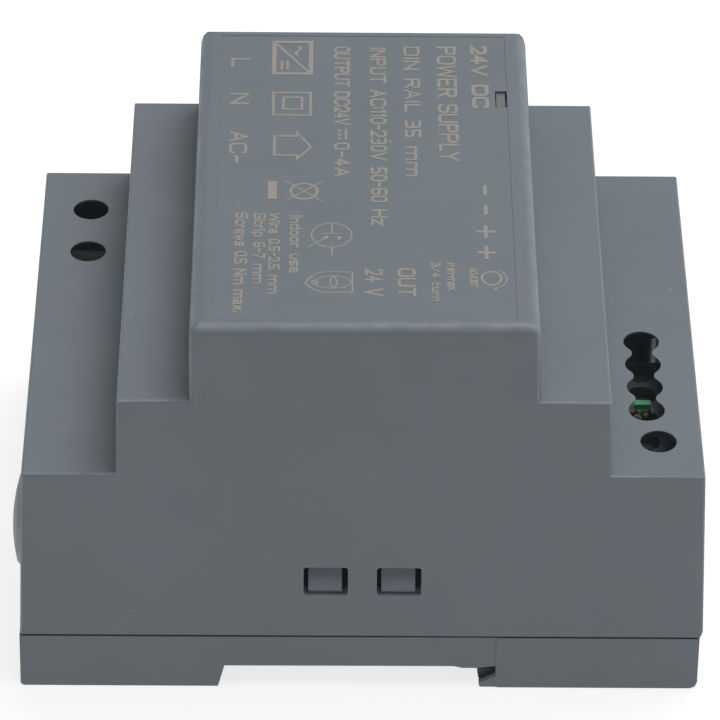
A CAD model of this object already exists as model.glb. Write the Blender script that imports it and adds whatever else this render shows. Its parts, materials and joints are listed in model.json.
"""Looks of a rail-mounted power supply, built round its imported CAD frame.

Lengths are millimetres times MM. X runs across the rail, Y along it, and Z from the rail to the front panel.
"""

import json
import math

import bmesh
import bpy
from mathutils import Matrix, Vector


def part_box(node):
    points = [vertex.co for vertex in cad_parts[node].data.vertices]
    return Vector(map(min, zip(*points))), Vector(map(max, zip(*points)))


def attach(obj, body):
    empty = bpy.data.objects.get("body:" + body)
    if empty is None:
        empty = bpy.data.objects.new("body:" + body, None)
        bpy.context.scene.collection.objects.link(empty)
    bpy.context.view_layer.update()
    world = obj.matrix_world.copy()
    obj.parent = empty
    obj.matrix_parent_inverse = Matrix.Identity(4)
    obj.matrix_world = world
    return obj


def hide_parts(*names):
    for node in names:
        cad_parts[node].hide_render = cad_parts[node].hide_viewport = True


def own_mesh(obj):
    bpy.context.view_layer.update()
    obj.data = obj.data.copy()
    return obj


MM = 0.001

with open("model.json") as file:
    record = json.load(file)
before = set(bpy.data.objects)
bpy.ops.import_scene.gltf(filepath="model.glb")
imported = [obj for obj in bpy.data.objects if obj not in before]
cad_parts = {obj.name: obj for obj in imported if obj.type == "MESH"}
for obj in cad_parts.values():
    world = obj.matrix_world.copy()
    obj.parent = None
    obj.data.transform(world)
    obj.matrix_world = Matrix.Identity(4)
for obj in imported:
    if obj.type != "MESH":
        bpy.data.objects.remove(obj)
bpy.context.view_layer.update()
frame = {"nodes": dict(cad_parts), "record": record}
nodes = frame["nodes"]
scene = bpy.context.scene


def in_mm(node):
    """A CAD node's lowest and highest corners, in millimetres."""
    low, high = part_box(node)
    return low / MM, high / MM


PANEL_TOP = in_mm("front_panel")[1].z
FLOOR_Z = in_mm("housing_base")[0].z - 0.02     # just clear of the feet
SCREW_LOW, SCREW_HIGH = in_mm("screw_minus_2")
SCREW_TOP = SCREW_HIGH.z
# the rib of the green terminal block that stands between the two middle output screws
RIB_X = (SCREW_LOW.x + SCREW_HIGH.x) / 2
RIB_Y = (SCREW_LOW.y + in_mm("screw_plus_1")[1].y) / 2


# ---- Camera, floor and light -------------------------------------------------------------------
CAMERA_PLACE = Vector((-5.41, -554.15, 423.11))
CAMERA_DOWN = 35.71        # degrees below level
CAMERA_TURN = 0.53         # to the right of straight ahead
CAMERA_ROLL = 0.64
CAMERA_LENS = 252.5
FILM_WIDTH = 36.0
NEAREST_SEEN = 10.0


def add_camera():
    down, turn, roll = (math.radians(a) for a in (CAMERA_DOWN, CAMERA_TURN, CAMERA_ROLL))
    ahead = Vector((math.sin(turn) * math.cos(down), math.cos(turn) * math.cos(down), -math.sin(down)))
    level = Vector((math.cos(turn), -math.sin(turn), 0))
    up = level.cross(ahead)
    right = math.cos(roll) * level + math.sin(roll) * up
    up = math.cos(roll) * up - math.sin(roll) * level
    camera = bpy.data.objects.new("camera", bpy.data.cameras.new("camera"))
    facing = Matrix((right, up, -ahead)).transposed().to_4x4()
    camera.matrix_world = Matrix.Translation(CAMERA_PLACE * MM) @ facing
    camera.data.lens = CAMERA_LENS
    camera.data.sensor_width = FILM_WIDTH
    camera.data.clip_start = NEAREST_SEEN * MM
    scene.collection.objects.link(camera)
    scene.camera = camera


LAMPS_FACE = Vector((0, 0, 25))
SOFTBOXES = (   # name, place, width, height, power in watts
    ("overhead", (400, 200, 1400), 1400, 1100, 19.5),
    ("backdrop", (150, 900, 700), 1600, 600, 2.7),
    ("front_strip", (-100, -560, 1250), 1200, 220, 3.2),
)


def add_softbox(name, place, width, height, power):
    """A rectangular lamp that faces the object."""
    light = bpy.data.lights.new(name, "AREA")
    light.shape = "RECTANGLE"
    light.size, light.size_y = width * MM, height * MM
    light.energy = power
    lamp = bpy.data.objects.new(name, light)
    lamp.location = Vector(place) * MM
    lamp.rotation_euler = (LAMPS_FACE - Vector(place)).to_track_quat("-Z", "Y").to_euler()
    scene.collection.objects.link(lamp)


FLOOR_REACH = 3000
FLOOR_SHADE = 0.3
FLOOR_GLOW = 0.77


def add_floor():
    """A pale table that glows a little, so that shadows on it stay light."""
    mesh = bpy.data.meshes.new("floor")
    reach, z = FLOOR_REACH * MM, FLOOR_Z * MM
    corners = [(-reach, -reach, z), (reach, -reach, z), (reach, reach, z), (-reach, reach, z)]
    mesh.from_pydata(corners, [], [(0, 1, 2, 3)])
    floor = bpy.data.objects.new("floor", mesh)
    scene.collection.objects.link(floor)
    finish = bpy.data.materials.new("floor")
    finish.use_nodes = True
    surface = finish.node_tree.nodes["Principled BSDF"]
    surface.inputs["Base Color"].default_value = (FLOOR_SHADE, FLOOR_SHADE, FLOOR_SHADE, 1)
    surface.inputs["Roughness"].default_value = 0.9
    surface.inputs["Specular IOR Level"].default_value = 0.1
    surface.inputs["Emission Color"].default_value = (1, 1, 1, 1)
    surface.inputs["Emission Strength"].default_value = FLOOR_GLOW
    mesh.materials.append(finish)


ROOM_COLOUR = (0.97, 0.99, 1.0, 1)
ROOM_STRENGTH = 0.06
GLARE = (-0.0065, -0.0080, -0.0090)     # the level that shows as black, below zero in each colour


def light_scene():
    world = bpy.data.worlds.new("studio")
    world.use_nodes = True
    room = world.node_tree.nodes["Background"]
    room.inputs["Color"].default_value = ROOM_COLOUR
    room.inputs["Strength"].default_value = ROOM_STRENGTH
    scene.world = world
    view = scene.view_settings
    view.view_transform = "Standard"
    # a little lens glare: the deepest shadows aren't quite black
    view.use_curve_mapping = True
    view.curve_mapping.black_level = GLARE
    for softbox in SOFTBOXES:
        add_softbox(*softbox)


# ---- Material building -------------------------------------------------------------------------
def scaled(colour, factor):
    """The colour, darker or paler by a factor."""
    return tuple(min(1.0, c * factor) for c in colour)


class Finish:
    """A procedural material while its nodes are being joined up. Textures run in object space, in metres."""

    def __init__(self, name, roughness=0.5, metallic=0.0, **constants):
        self.material = bpy.data.materials.new(name)
        self.material.use_nodes = True
        self.tree = self.material.node_tree
        self.surface = self.tree.nodes["Principled BSDF"]
        self.surface.inputs["Roughness"].default_value = roughness
        self.surface.inputs["Metallic"].default_value = metallic
        for socket, value in constants.items():
            self.surface.inputs[socket.replace("_", " ")].default_value = value
        self.place = self.node("ShaderNodeTexCoord").outputs["Object"]

    def node(self, kind, inputs=None, **settings):
        made = self.tree.nodes.new(kind)
        for key, value in settings.items():
            setattr(made, key, value)
        for key, value in (inputs or {}).items():
            if isinstance(value, bpy.types.NodeSocket):
                self.tree.links.new(value, made.inputs[key])
            else:
                made.inputs[key].default_value = value
        return made

    def stretched(self, along, turn=(0, 0, 0)):
        """The object's coordinates, scaled per axis and turned."""
        return self.node(
            "ShaderNodeMapping", {"Vector": self.place, "Scale": along, "Rotation": turn}
        ).outputs["Vector"]

    def noise(self, size, detail=2.0, place=None, distortion=0.0):
        """Smooth noise whose blobs are about size millimetres across."""
        return self.node(
            "ShaderNodeTexNoise",
            {"Vector": place or self.place, "Scale": 1 / (size * MM), "Detail": detail, "Distortion": distortion},
        ).outputs["Fac"]

    def cells(self, size, feature="F1", place=None):
        """Irregular cells about size millimetres across, each with its distance and its own random colour."""
        return self.node(
            "ShaderNodeTexVoronoi", {"Vector": place or self.place, "Scale": 1 / (size * MM)}, feature=feature
        ).outputs

    def bands(self, width, axis, place=None, profile="SIN", distortion=0.0):
        """Stripes across an axis; one light and one dark stripe take width millimetres."""
        return self.node(
            "ShaderNodeTexWave",
            {"Vector": place or self.place, "Scale": 2 * math.pi / (20 * width * MM), "Distortion": distortion},
            bands_direction=axis, wave_profile=profile,
        ).outputs["Fac"]

    def math(self, operation, a, b=0.0, clamp=False):
        return self.node("ShaderNodeMath", {0: a, 1: b}, operation=operation, use_clamp=clamp).outputs[0]

    def remap(self, value, low, high, to_low=0.0, to_high=1.0):
        """Stretch low..high over to_low..to_high, and hold the ends beyond it."""
        return self.node(
            "ShaderNodeMapRange",
            {"Value": value, "From Min": low, "From Max": high, "To Min": to_low, "To Max": to_high},
        ).outputs["Result"]

    def blend(self, share, a, b):
        """Colour a where share is 0 and b where it is 1."""
        made = self.node("ShaderNodeMix", {"Factor": share}, data_type="RGBA")
        for index, value in ((6, a), (7, b)):
            if isinstance(value, bpy.types.NodeSocket):
                self.tree.links.new(value, made.inputs[index])
            else:
                made.inputs[index].default_value = (*value, 1.0)
        return made.outputs[2]

    def axis(self, letter):
        return self.node("ShaderNodeSeparateXYZ", {"Vector": self.place}).outputs[letter]

    def within(self, letter, low, high):
        """1 where the coordinate is between two places in millimetres, and 0 elsewhere."""
        coordinate = self.axis(letter)
        return self.math(
            "MULTIPLY", self.math("GREATER_THAN", coordinate, low * MM), self.math("LESS_THAN", coordinate, high * MM)
        )

    def colour(self, value):
        if isinstance(value, bpy.types.NodeSocket):
            self.tree.links.new(value, self.surface.inputs["Base Color"])
        else:
            self.surface.inputs["Base Color"].default_value = (*value, 1.0)
        return self

    def rough(self, value):
        self.tree.links.new(value, self.surface.inputs["Roughness"])
        return self

    def bumpy(self, height, depth, strength=1.0):
        """Raise the surface by up to depth millimetres where height is 1."""
        bump = self.node("ShaderNodeBump", {"Height": height, "Distance": depth * MM, "Strength": strength})
        self.tree.links.new(bump.outputs["Normal"], self.surface.inputs["Normal"])
        return self


# ---- Finishes of each material slot ------------------------------------------------------------
HOUSING_GREY = (0.127, 0.150, 0.167)
HOUSING_ROUGHNESS = 0.52
GRAIN = 0.35             # size of the moulding's spark-eroded texture
# Specks: distance between the places they may take, radius as a share of it, share of places left empty, colour
SPECKS = (
    (4.2, 0.028, 0.72, (0.6, 0.6, 0.58)),      # dust
    (9.0, 0.016, 0.6, (0.42, 0.2, 0.09)),      # brown grit
)


def rubbed_edges(finish):
    """1 on the rounded edges, where handling polishes the plastic, and 0 on faces square to an axis."""
    normal = finish.node("ShaderNodeNewGeometry").outputs["Normal"]
    facing = finish.node("ShaderNodeVectorMath", {0: normal}, operation="ABSOLUTE")
    parts = finish.node("ShaderNodeSeparateXYZ", {"Vector": facing.outputs["Vector"]}).outputs
    flat = finish.math("MAXIMUM", finish.math("MAXIMUM", parts["X"], parts["Y"]), parts["Z"])
    patches = finish.remap(finish.noise(2.4, 3.0), 0.3, 0.7, 0.45, 1.0)
    return finish.math("MULTIPLY", finish.remap(flat, 0.985, 0.86), patches)


def hairlines(finish):
    """1 along faint, broken, slanting scratches."""
    field = finish.noise(30.0, 1.0, finish.stretched((1.0, 0.24, 1.0), (0.3, 0.5, 0.6)), distortion=0.4)
    from_middle = finish.math("ABSOLUTE", finish.math("SUBTRACT", field, 0.5))
    line = finish.remap(from_middle, 0.0, 0.0016, 1.0, 0.0)
    broken = finish.remap(finish.noise(9.0, 2.0), 0.60, 0.68)
    return finish.math("MULTIPLY", line, broken, clamp=True)


def housing_plastic():
    """Fine matte moulded plastic: faint cloudiness, spark-eroded grain, rubbed edges, dust and hairline scratches."""
    grey = HOUSING_GREY
    finish = Finish("housing_plastic", Specular_IOR_Level=0.45)
    cloud = finish.remap(finish.noise(38.0, 3.0), 0.3, 0.7)
    shade = finish.blend(cloud, scaled(grey, 0.955), scaled(grey, 1.045))
    fine = finish.noise(GRAIN, 2.0)
    shade = finish.blend(finish.remap(fine, 0.35, 0.75, 0.0, 0.35), shade, scaled(grey, 1.16))
    edge = rubbed_edges(finish)
    shade = finish.blend(finish.math("MULTIPLY", edge, 0.8), shade, scaled(grey, 1.7))
    shade = finish.blend(finish.math("MULTIPLY", hairlines(finish), 0.35), shade, scaled(grey, 2.0))
    for spacing, radius, empty, tint in SPECKS:
        cells = finish.cells(spacing)
        draw = finish.node("ShaderNodeSeparateColor", {"Color": cells["Color"]}).outputs["Red"]
        chosen = finish.math("GREATER_THAN", draw, empty)
        speck = finish.remap(cells["Distance"], radius * 0.6, radius, 1.0, 0.0)
        shade = finish.blend(finish.math("MULTIPLY", speck, chosen, clamp=True), shade, tint)
    finish.colour(shade)
    low, high = HOUSING_ROUGHNESS - 0.06, HOUSING_ROUGHNESS + 0.06
    uneven = finish.remap(finish.noise(6.0, 4.0), 0.3, 0.7, low, high)
    finish.rough(finish.math("SUBTRACT", uneven, finish.math("MULTIPLY", edge, 0.08)))
    finish.bumpy(fine, 0.012, 0.55)
    return finish.material


BLEACHED = (0.345, 0.305, 0.255)
LASER_ROW = 0.16


def marking_finish():
    """Laser marking: the plastic is bleached to tan in close rows."""
    finish = Finish("laser_marking", 0.75, Specular_IOR_Level=0.25)
    rows = finish.bands(LASER_ROW, "X")
    patchy = finish.noise(1.2, 3.0)
    unmarked = finish.math("ADD", finish.math("MULTIPLY", rows, 0.22), finish.math("MULTIPLY", patchy, 0.25))
    finish.colour(finish.blend(unmarked, BLEACHED, HOUSING_GREY))
    finish.bumpy(rows, 0.006, 0.4)
    return finish.material


def clear_plastic():
    """The light pipe: clear and slightly frosted, dark because nothing is lit behind it."""
    finish = Finish("clear_plastic", 0.35, Transmission_Weight=0.35, IOR=1.585)
    finish.colour(finish.blend(finish.noise(0.6, 3.0), (0.13, 0.128, 0.122), (0.21, 0.205, 0.195)))
    finish.bumpy(finish.noise(0.25, 2.0), 0.01, 0.5)
    return finish.material


def plain_plastic(name, colour, roughness, grain=0.3, depth=0.01):
    """One colour with a slight mottle, uneven polish, and grain of a size and depth in millimetres."""
    finish = Finish(name, roughness)
    mottle = finish.remap(finish.noise(3.5, 4.0), 0.3, 0.7)
    finish.colour(finish.blend(mottle, scaled(colour, 0.88), scaled(colour, 1.12)))
    finish.rough(finish.remap(finish.noise(1.6, 3.0), 0.3, 0.7, roughness * 0.85, roughness * 1.15))
    finish.bumpy(finish.noise(grain, 2.0), depth, 0.6)
    return finish.material


def circuit_board():
    """Solder mask over tracks and glass weave, with tinned pads."""
    finish = Finish("circuit_board", 0.3, Coat_Weight=0.4, Coat_Roughness=0.12)
    to_edge = finish.cells(4.2, "DISTANCE_TO_EDGE", finish.stretched((1.0, 1.0, 0.2)))["Distance"]
    tracks = finish.remap(to_edge, 0.05, 0.08, 1.0, 0.0)
    mask = finish.blend(tracks, (0.008, 0.085, 0.030), (0.02, 0.17, 0.06))
    weave = finish.math("MULTIPLY", finish.bands(0.5, "X"), finish.bands(0.5, "Y"))
    mask = finish.blend(finish.math("MULTIPLY", weave, 0.12), mask, (0.03, 0.22, 0.08))
    pads = finish.remap(finish.cells(3.3)["Distance"], 0.13, 0.16, 1.0, 0.0)
    finish.colour(finish.blend(pads, mask, (0.58, 0.57, 0.54)))
    finish.bumpy(finish.math("ADD", tracks, finish.math("MULTIPLY", weave, 0.2)), 0.035, 0.7)
    return finish.material


def metal(name, colour, roughness, brushed):
    """Bare or plated metal, faintly stained, and brushed along the axis whose scale is smallest."""
    finish = Finish(name, roughness, metallic=1.0)
    stains = finish.remap(finish.noise(4.0, 4.0), 0.3, 0.75)
    finish.colour(finish.blend(stains, colour, scaled(colour, 0.88)))
    lines = finish.noise(0.25, 3.0, finish.stretched(brushed))
    finish.rough(finish.remap(lines, 0.25, 0.75, roughness * 0.8, roughness * 1.25))
    finish.bumpy(lines, 0.006, 0.5)
    return finish.material


WIRE_TURN = 1.0


def enamelled_wire():
    """Close turns of enamelled copper wire, side by side along Y."""
    finish = Finish("enamelled_copper", 0.28, metallic=0.85, Coat_Weight=0.5, Coat_Roughness=0.1)
    turns = finish.bands(WIRE_TURN, "Y")
    finish.colour(finish.blend(turns, (0.16, 0.055, 0.02), (0.62, 0.27, 0.09)))
    finish.bumpy(turns, WIRE_TURN * 0.35)
    return finish.material


def wrapped_tape():
    """Yellow polyester tape in overlapping layers."""
    finish = Finish("wrapped_tape", 0.32, Coat_Weight=0.35, Coat_Roughness=0.15)
    laps = finish.bands(3.4, "Z", profile="SAW", distortion=0.2)
    creases = finish.noise(1.4, 4.0, finish.stretched((1.0, 1.0, 0.3)))
    worn = finish.math("ADD", finish.math("MULTIPLY", laps, 0.4), finish.math("MULTIPLY", creases, 0.4))
    finish.colour(finish.blend(worn, (0.62, 0.43, 0.06), (0.86, 0.66, 0.14)))
    finish.bumpy(finish.math("ADD", laps, finish.math("MULTIPLY", creases, 0.5)), 0.09, 0.6)
    return finish.material


STRIPE_HALF = 1.3


def capacitor_sleeve(cans):
    """A dark shrunk sleeve, with a pale polarity stripe on the near side of each can."""
    finish = Finish("capacitor_sleeve", 0.3, Coat_Weight=0.3, Coat_Roughness=0.15)
    wrinkles = finish.noise(2.2, 3.0, finish.stretched((1.0, 1.0, 0.25)))
    body = finish.blend(wrinkles, (0.012, 0.014, 0.035), (0.028, 0.032, 0.07))
    stripe = 0.0
    for can in cans:
        middle = sum(in_mm(can), Vector()) / 2
        near_side = finish.math("LESS_THAN", finish.axis("Y"), middle.y * MM)
        across = finish.within("X", middle.x - STRIPE_HALF, middle.x + STRIPE_HALF)
        stripe = finish.math("ADD", stripe, finish.math("MULTIPLY", across, near_side), clamp=True)
    finish.colour(finish.blend(stripe, body, (0.42, 0.43, 0.44)))
    finish.bumpy(wrinkles, 0.05, 0.4)
    return finish.material


def ferrite():
    """Dull, pitted sintered ferrite."""
    finish = Finish("ferrite", 0.55)
    pits = finish.noise(0.5, 5.0)
    finish.colour(finish.blend(pits, (0.022, 0.022, 0.023), (0.06, 0.06, 0.062)))
    finish.rough(finish.remap(pits, 0.3, 0.7, 0.45, 0.7))
    finish.bumpy(pits, 0.04, 0.6)
    return finish.material


RIB_REACH = (1.2, (-0.6, 0.7))      # half its length across the rail, and its two faces along it
RIB_FOOT = 0.9                      # above the screw heads
FILINGS_REACH = ((0.0, 1.5), (-1.1, -0.4))      # above the screw heads, and along the rail from the rib's middle


def terminal_green():
    """Green moulding, bright on the rib between its poles, almost black in its wells, with brass filings by the rib."""
    finish = Finish("terminal_green", 0.42)
    green = finish.blend(finish.noise(1.8, 3.0), (0.012, 0.20, 0.085), (0.03, 0.30, 0.13))
    half, (near, far) = RIB_REACH
    above = finish.math("GREATER_THAN", finish.axis("Z"), (SCREW_TOP + RIB_FOOT) * MM)
    across = finish.within("X", RIB_X - half, RIB_X + half)
    along = finish.within("Y", RIB_Y + near, RIB_Y + far)
    rib = finish.math("MULTIPLY", above, finish.math("MULTIPLY", along, across))
    shade = finish.blend(rib, (0.006, 0.017, 0.011), green)
    (bottom, top), (near, far) = FILINGS_REACH
    grains = finish.remap(finish.cells(0.7)["Distance"], 0.3, 0.42, 1.0, 0.0)
    grains = finish.math("MULTIPLY", grains, finish.within("Z", SCREW_TOP + bottom, SCREW_TOP + top))
    filings = finish.math("MULTIPLY", grains, finish.within("Y", RIB_Y + near, RIB_Y + far), clamp=True)
    finish.colour(finish.blend(filings, shade, (0.8, 0.66, 0.42)))
    finish.bumpy(finish.noise(0.4, 2.0), 0.012, 0.5)
    return finish.material


# ---- Shading of the CAD meshes -----------------------------------------------------------------
SHARP_FROM = 36          # degrees
WELD = 0.001


def smoothing_group():
    """Geometry nodes that weld a mesh's split corners and shade it smooth, except across sharp edges."""
    group = bpy.data.node_groups.new("smooth_by_angle", "GeometryNodeTree")
    group.interface.new_socket("Geometry", in_out="INPUT", socket_type="NodeSocketGeometry")
    group.interface.new_socket("Geometry", in_out="OUTPUT", socket_type="NodeSocketGeometry")
    add, link = group.nodes.new, group.links.new
    start, end = add("NodeGroupInput"), add("NodeGroupOutput")
    forget = add("GeometryNodeRemoveAttribute")
    forget.inputs["Name"].default_value = "custom_normal"
    weld = add("GeometryNodeMergeByDistance")
    weld.inputs["Distance"].default_value = WELD * MM
    all_smooth = add("GeometryNodeSetShadeSmooth")
    all_smooth.inputs["Shade Smooth"].default_value = True
    sharp = add("GeometryNodeSetShadeSmooth")
    sharp.domain = "EDGE"
    sharp.inputs["Shade Smooth"].default_value = False
    steep = add("FunctionNodeCompare")
    steep.data_type = "FLOAT"
    steep.operation = "GREATER_THAN"
    steep.inputs[1].default_value = math.radians(SHARP_FROM)
    corner = add("GeometryNodeInputMeshEdgeAngle")
    link(corner.outputs["Unsigned Angle"], steep.inputs[0])
    link(steep.outputs["Result"], sharp.inputs["Selection"])
    chain = [start.outputs[0]]
    for step in (forget, weld, all_smooth, sharp):
        link(chain[-1], step.inputs["Geometry"])
        chain.append(step.outputs["Geometry"])
    link(chain[-1], end.inputs[0])
    return group


def smooth_shading(pieces, group):
    """Shade by the large faces, so that flat walls stay flat beside their rounded edges."""
    for piece in pieces:
        piece.modifiers.new("smooth_by_angle", "NODES").node_group = group
        weighted = piece.modifiers.new("weighted_normals", "WEIGHTED_NORMAL")
        weighted.keep_sharp = True
        weighted.weight = 80


# ---- Marking on the front panel ----------------------------------------------------------------
MARK_Z = PANEL_TOP + 0.012
LEVEL_STEP, LEVELS = 0.0012, 23      # crossing strokes never share a plane

# Each letter is a width and some strokes. A stroke lists points as pairs of digits, x then y, on a grid
# whose baseline is y=2, whose small letters reach y=6 and whose capitals reach y=8.
LETTERS = {
    "A": "4 022842 1434", "C": "4 474808024243", "D": "4 0802 08484202", "E": "4 0802 0848 0242 0535",
    "H": "4 0208 4248 0545", "I": "0 0208", "J": "3 38320204", "L": "3 0802 0232",
    "N": "4 0208 0842 4248", "O": "4 050848420205", "P": "4 0208 08484505", "R": "4 0208 08484505 2542",
    "S": "4 4748080545420203", "T": "4 0848 2228", "U": "4 08024248", "V": "4 082248", "W": "6 0812375268",
    "Y": "4 0825 4825 2522", "a": "3 063632 32020434", "c": "3 36060232", "d": "3 3832 36060232",
    "e": "3 043436060232", "i": "0 0205 0708", "m": "6 0602 063632 366662", "n": "3 0602 063632",
    "o": "3 040636320204", "p": "3 0600 06363202", "r": "2 0602 0626", "s": "3 360604343202",
    "t": "2 080222 0626", "u": "3 06023236", "w": "4 0612253246", "x": "3 0236 0632", "z": "3 06360232",
    "0": "3 050838320205", "1": "1 071812", "2": "3 070838350232", "3": "3 08383202 1535", "4": "3 22280434",
    "5": "3 3808 0805 05353202", "6": "3 380802323505", "7": "3 083812", ":": "0 0304 0607", ".": "0 0203",
    "-": "2 0525", "~": "3 04152435", "/": "3 0238", " ": "2",
}
LETTER_GAP = 1.5
BASELINE, CAPITAL = 2, 6
CORNER = 1.25
CORNER_STEPS = 4


def rounded(points, radius):
    """Replace each square corner of a line of points by an arc."""
    made = [points[0]]
    for before, corner, after in zip(points, points[1:], points[2:]):
        back, on = before - corner, after - corner
        if abs(back.normalized().dot(on.normalized())) > 0.2:     # not a square corner
            made.append(corner)
            continue
        reach = min(radius, back.length / 2, on.length / 2)
        first, last = corner + back.normalized() * reach, corner + on.normalized() * reach
        for i in range(CORNER_STEPS + 1):
            angle = math.pi / 2 * i / CORNER_STEPS
            made.append(corner + (first - corner) * (1 - math.sin(angle)) + (last - corner) * (1 - math.cos(angle)))
    return made + [points[-1]]


def add_line(bm, text, start, length, foot, height, weight=None):
    """Letters that run from y=start towards the viewer. Their feet are at x=foot and their tops towards +X."""
    weight = weight or 0.11 + 0.115 * height
    drawn = [LETTERS[letter].split() for letter in text]
    units = sum(int(width) + LETTER_GAP for width, *_ in drawn) - LETTER_GAP
    across, tall = (length - weight) / units, (height - weight) / CAPITAL
    at = 0.0
    for width, *strokes in drawn:
        for stroke in strokes:
            points = [Vector((float(stroke[i]), float(stroke[i + 1]))) for i in range(0, len(stroke), 2)]
            add_stroke(bm, [
                (foot + weight / 2 + tall * (p.y - BASELINE), start - weight / 2 - across * (at + p.x))
                for p in rounded(points, CORNER)
            ], weight, capped=True)
        at += int(width) + LETTER_GAP


def add_stroke(bm, points, width, closed=False, capped=False):
    """A flat ribbon of even width along a line of (x, y) points, mitred at its corners. Its ends run on by half
    its width if capped. Each stretch lies at its own height, so that no two share a plane where they overlap."""
    points = [Vector(p) for p in points]
    if capped:
        points[0] = points[0] + (points[0] - points[1]).normalized() * width / 2
        points[-1] = points[-1] + (points[-1] - points[-2]).normalized() * width / 2
    count = len(points)
    rims = []
    for i, point in enumerate(points):
        before = points[i - 1] if closed or i else point
        after = points[(i + 1) % count] if closed or i < count - 1 else point
        incoming = (point - before).normalized() if point != before else (after - point).normalized()
        outgoing = (after - point).normalized() if after != point else incoming
        side = Vector((-(incoming.y + outgoing.y), incoming.x + outgoing.x)).normalized()
        reach = width / 2 / max(0.35, side.dot(Vector((-incoming.y, incoming.x))))
        rims.append([point + s * side * reach for s in (-1, 1)])
    for i in range(count if closed else count - 1):
        a, b = rims[i], rims[(i + 1) % count]
        level = MARK_Z + LEVEL_STEP * (len(bm.faces) % LEVELS)
        bm.faces.new([bm.verts.new((*corner, level)) for corner in (a[0], b[0], b[1], a[1])])


def oval(x, y, across, along, count=40, start=0.0, end=360.0):
    """Points round an oval, or along a part of it between two angles in degrees."""
    steps = count if end - start >= 360 else count + 1
    return [
        (x + across * math.cos(math.radians(start + (end - start) * i / count)),
         y + along * math.sin(math.radians(start + (end - start) * i / count)))
        for i in range(steps)
    ]


def rectangle(x, y, half_x, half_y):
    return [(x - half_x, y - half_y), (x + half_x, y - half_y), (x + half_x, y + half_y), (x - half_x, y + half_y)]


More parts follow.
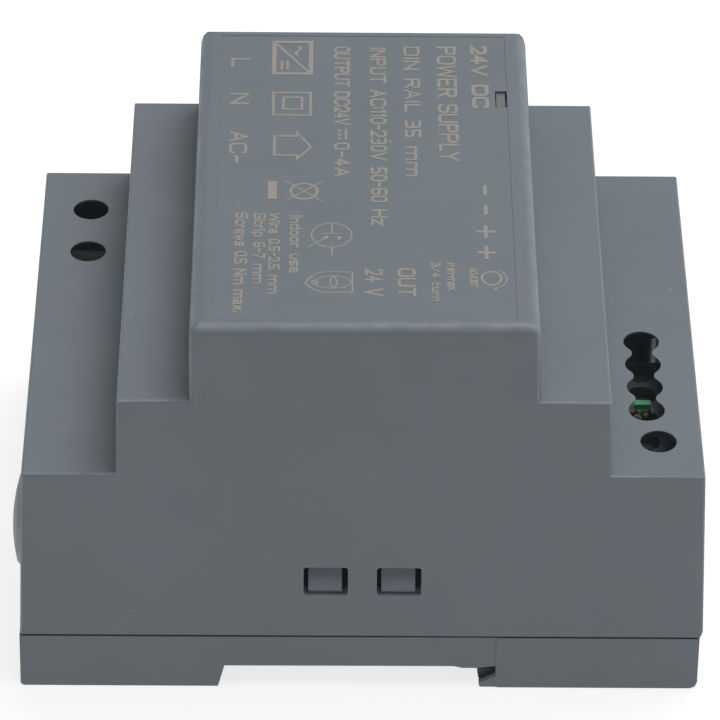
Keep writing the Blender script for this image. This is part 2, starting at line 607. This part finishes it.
def add_marking():
    """Generic ratings, terminal signs and pictograms, as one thin layer on the panel. Places are (x, y) pairs."""
    bm = bmesh.new()
    thin, medium, sign, bold = 0.22, 0.34, 0.5, 0.6

    add_line(bm, "24V DC", 31.7, 15.6, 14.55, 2.3, 0.5)
    add_line(bm, "POWER SUPPLY", 31.5, 28.4, 9.95, 2.68)
    add_line(bm, "DIN RAIL 35 mm", 31.4, 32.0, 5.45, 2.2)
    add_line(bm, "INPUT AC:110-230V 50-60 Hz", 31.1, 43.2, 0.85, 2.2)
    add_line(bm, "OUTPUT DC:24V", 31.3, 19.6, -4.0, 2.12)
    add_line(bm, "0-4A", 7.4, 8.2, -4.0, 2.12)
    add_stroke(bm, [(-2.4, 10.6), (-2.4, 8.0)], medium)
    for y in (10.6, 9.65, 8.7):
        add_stroke(bm, [(-3.3, y), (-3.3, y - 0.7)], medium)

    add_line(bm, "L", 28.2, 2.3, -18.0, 2.6)
    add_line(bm, "N", 19.4, 2.7, -18.0, 2.6)
    add_line(bm, "AC~", 10.0, 7.6, -17.9, 2.4)
    for y in (-2.6, -7.2):
        add_stroke(bm, [(15.8, y), (15.8, y - 2.3)], sign)
    for y in (-13.4, -18.2):
        add_stroke(bm, [(15.7, y + 1.5), (15.7, y - 1.5)], sign)
        add_stroke(bm, [(14.5, y), (16.9, y)], sign)

    # an alternating-to-direct converter
    add_stroke(bm, rectangle(-9.65, 28.4, 2.5, 4.0), bold, closed=True)
    add_stroke(bm, [(-12.0, 32.2), (-7.3, 24.6)], medium)
    add_stroke(bm, [(-8.9, 31.4), (-8.5, 30.9), (-8.9, 30.2), (-9.3, 29.5), (-8.9, 29.0)], medium)
    for x in (-10.3, -11.1):
        add_stroke(bm, [(x, 27.6), (x, 25.4)], medium)

    # double insulation, and indoor use
    add_stroke(bm, rectangle(-9.65, 16.85, 2.5, 2.75), medium, closed=True)
    add_stroke(bm, rectangle(-9.55, 17.0, 1.25, 1.45), medium, closed=True)
    add_stroke(bm, [
        (-11.9, 8.9), (-8.9, 8.9), (-8.9, 9.8), (-7.1, 6.4), (-7.4, 5.6), (-8.9, 3.4), (-8.9, 4.3), (-11.9, 4.3),
    ], medium, closed=True)

    # a terminal screw over a bar
    add_stroke(bm, oval(-7.9, -4.25, 1.75, 1.8), medium, closed=True)
    add_stroke(bm, [(-10.4, -1.85), (-5.4, -6.65)], thin)
    add_stroke(bm, [(-10.4, -6.65), (-5.4, -1.85)], thin)
    add_stroke(bm, [(-12.05, -1.9), (-12.05, -6.2)], 1.15)

    # a regulated source in its ring
    add_stroke(bm, oval(-4.27, -14.4, 2.6, 2.75), thin, closed=True)
    add_stroke(bm, [(-4.22, -11.6), (-4.22, -14.0)], thin)
    add_stroke(bm, [(-5.66, -14.1), (-2.9, -14.1)], thin)
    add_stroke(bm, [(-7.4, -17.3), (-4.9, -14.9)], thin)
    add_stroke(bm, [(-5.3, -15.3), (-4.7, -14.7)], 0.55)
    add_stroke(bm, [(-3.55, -15.1), (-3.05, -15.1)], 0.8)
    add_stroke(bm, [(-4.22, -17.2), (-4.22, -19.1)], thin)

    # a closed core in its shield
    add_stroke(bm, [
        (-1.6, -22.8), (-5.4, -22.8), (-6.5, -23.4), (-7.2, -24.3), (-7.6, -25.15), (-7.2, -26.0), (-6.5, -26.8),
        (-5.4, -27.3), (-1.6, -27.3),
    ], thin, closed=True)
    add_stroke(bm, oval(-4.1, -25.1, 2.3, 1.35), thin, closed=True)
    add_stroke(bm, oval(-4.0, -25.1, 0.42, 1.2, 24), thin, closed=True)
    add_stroke(bm, oval(-6.4, -25.1, 0.38, 0.5, 16), thin, closed=True)

    # output adjustment
    add_stroke(bm, oval(16.2, -24.0, 1.25, 1.5), medium, closed=True)
    add_stroke(bm, oval(16.25, -24.1, 1.9, 2.15, 24, -75, 60), thin)
    add_stroke(bm, [(16.5, -26.6), (17.0, -26.0)], 0.5)
    add_line(bm, "ADJUST", -21.7, 4.4, 13.4, 1.05)
    add_line(bm, "min-max", -20.6, 6.1, 10.5, 1.3)
    add_line(bm, "3/4 turn", -20.4, 8.8, 8.5, 1.2)
    add_line(bm, "OUT", -21.9, 6.2, 4.2, 2.3)
    add_line(bm, "24 V", -22.1, 6.0, 0.0, 2.35)

    # wiring advice in small letters
    add_line(bm, "Indoor use", -9.9, 13.1, -9.7, 1.6)
    add_line(bm, "Wire 0.5-2.5 mm", -9.4, 18.3, -12.4, 1.5)
    add_line(bm, "Strip 6-7 mm", -9.4, 16.1, -14.4, 1.6)
    add_line(bm, "Screws 0.5 Nm max.", -9.3, 22.5, -16.8, 1.7)

    mesh = bpy.data.meshes.new("panel_marking")
    bm.to_mesh(mesh)
    bm.free()
    mesh.transform(Matrix.Diagonal((MM, MM, MM, 1)))
    marking = bpy.data.objects.new("panel_marking", mesh)
    scene.collection.objects.link(marking)
    mesh.materials.append(marking_finish())
    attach(marking, "housing")


# ---- The latch's spring ------------------------------------------------------------------------
COIL_WIRE = 0.18         # the wire's radius
COIL_TURNS = 8
COIL_DEAD = 1.0          # turns at each end that lie nearly flat against their seats
DEAD_PITCH = 2.2 * COIL_WIRE
STEPS_PER_TURN = 28
WIRE_SIDES = 10


def add_spring(finish):
    """A round wire coil with closed ends in place of the plain one. It shortens as the latch slides out."""
    low, high = in_mm("latch_spring")
    middle = (low + high) / 2
    radius = (high.y - low.y) / 2 - COIL_WIRE
    start, end = low.x + COIL_WIRE, high.x - COIL_WIRE
    live_turns = COIL_TURNS - 2 * COIL_DEAD
    live_length = end - start - 2 * DEAD_PITCH * COIL_DEAD
    bm = bmesh.new()
    rings = []
    for i in range(COIL_TURNS * STEPS_PER_TURN + 1):
        turn = i / STEPS_PER_TURN
        live = min(max(turn - COIL_DEAD, 0.0), live_turns) / live_turns
        dead = min(turn, COIL_DEAD) + max(turn - (COIL_TURNS - COIL_DEAD), 0.0)
        x = start + DEAD_PITCH * dead + live_length * live
        angle = 2 * math.pi * turn
        outward = Vector((0, math.cos(angle), math.sin(angle)))
        centre = Vector((x, middle.y, middle.z)) + outward * radius
        ring = []
        for k in range(WIRE_SIDES):
            around = 2 * math.pi * k / WIRE_SIDES
            side = math.cos(around) * outward + math.sin(around) * Vector((1, 0, 0))
            ring.append(bm.verts.new((centre + COIL_WIRE * side) * MM))
        rings.append(ring)
    for a, b in zip(rings, rings[1:]):
        for k in range(WIRE_SIDES):
            following = (k + 1) % WIRE_SIDES
            bm.faces.new((a[k], a[following], b[following], b[k]))
    bm.faces.new(rings[0][::-1])
    bm.faces.new(rings[-1])
    bmesh.ops.recalc_face_normals(bm, faces=bm.faces)
    mesh = bpy.data.meshes.new("latch_spring_coil")
    bm.to_mesh(mesh)
    bm.free()
    for face in mesh.polygons:
        face.use_smooth = True
    coil = bpy.data.objects.new("latch_spring_coil", mesh)
    scene.collection.objects.link(coil)
    mesh.materials.append(finish)
    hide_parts("latch_spring")
    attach(coil, "housing")
    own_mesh(coil)


# ---- Putting it together -----------------------------------------------------------------------
def dress_nodes():
    """Give every CAD piece its slot's finish and smooth shading."""
    slots = {part["node"]: part["material_slot"] for part in frame["record"]["subparts"]}
    cans = [name for name, slot in slots.items() if slot == "capacitor_sleeve"]
    finishes = {
        "housing": housing_plastic(),
        "clear_plastic": clear_plastic(),
        "black_plastic": plain_plastic("black_plastic", (0.018, 0.018, 0.02), 0.5),
        "green_plastic": terminal_green(),
        "blue_plastic": plain_plastic("blue_coating", (0.02, 0.07, 0.32), 0.28),
        "yellow_plastic": wrapped_tape(),
        "white_plastic": plain_plastic("white_plastic", (0.62, 0.61, 0.57), 0.45),
        "dark_coating": plain_plastic("dipped_coating", (0.03, 0.036, 0.03), 0.5, grain=0.8, depth=0.04),
        "lamp_resin": plain_plastic("lamp_resin", (0.12, 0.45, 0.14), 0.2),
        "circuit_board": circuit_board(),
        "insulation_film": plain_plastic("insulation_film", (0.66, 0.68, 0.66), 0.3),
        "capacitor_sleeve": capacitor_sleeve(cans),
        "ceramic": plain_plastic("ceramic", (0.66, 0.63, 0.55), 0.4),
        "ferrite": ferrite(),
        "enamelled_copper": enamelled_wire(),
        "tinned_copper": metal("tinned_copper", (0.78, 0.76, 0.72), 0.3, (0.2, 1.0, 1.0)),
        "zinc_steel": metal("zinc_steel", (0.66, 0.66, 0.65), 0.32, (1.0, 0.3, 1.0)),
        "dull_steel": metal("dull_steel", (0.055, 0.055, 0.053), 0.55, (1.0, 0.3, 1.0)),
        "aluminium": metal("aluminium", (0.78, 0.79, 0.81), 0.38, (1.0, 1.0, 0.12)),
    }
    for name, node in nodes.items():
        for place in node.material_slots:
            place.link = "OBJECT"
            place.material = finishes[slots[name]]
    smooth_shading(nodes.values(), smoothing_group())
    return finishes


add_camera()
add_floor()
light_scene()
finishes = dress_nodes()
add_marking()
add_spring(finishes["zinc_steel"])
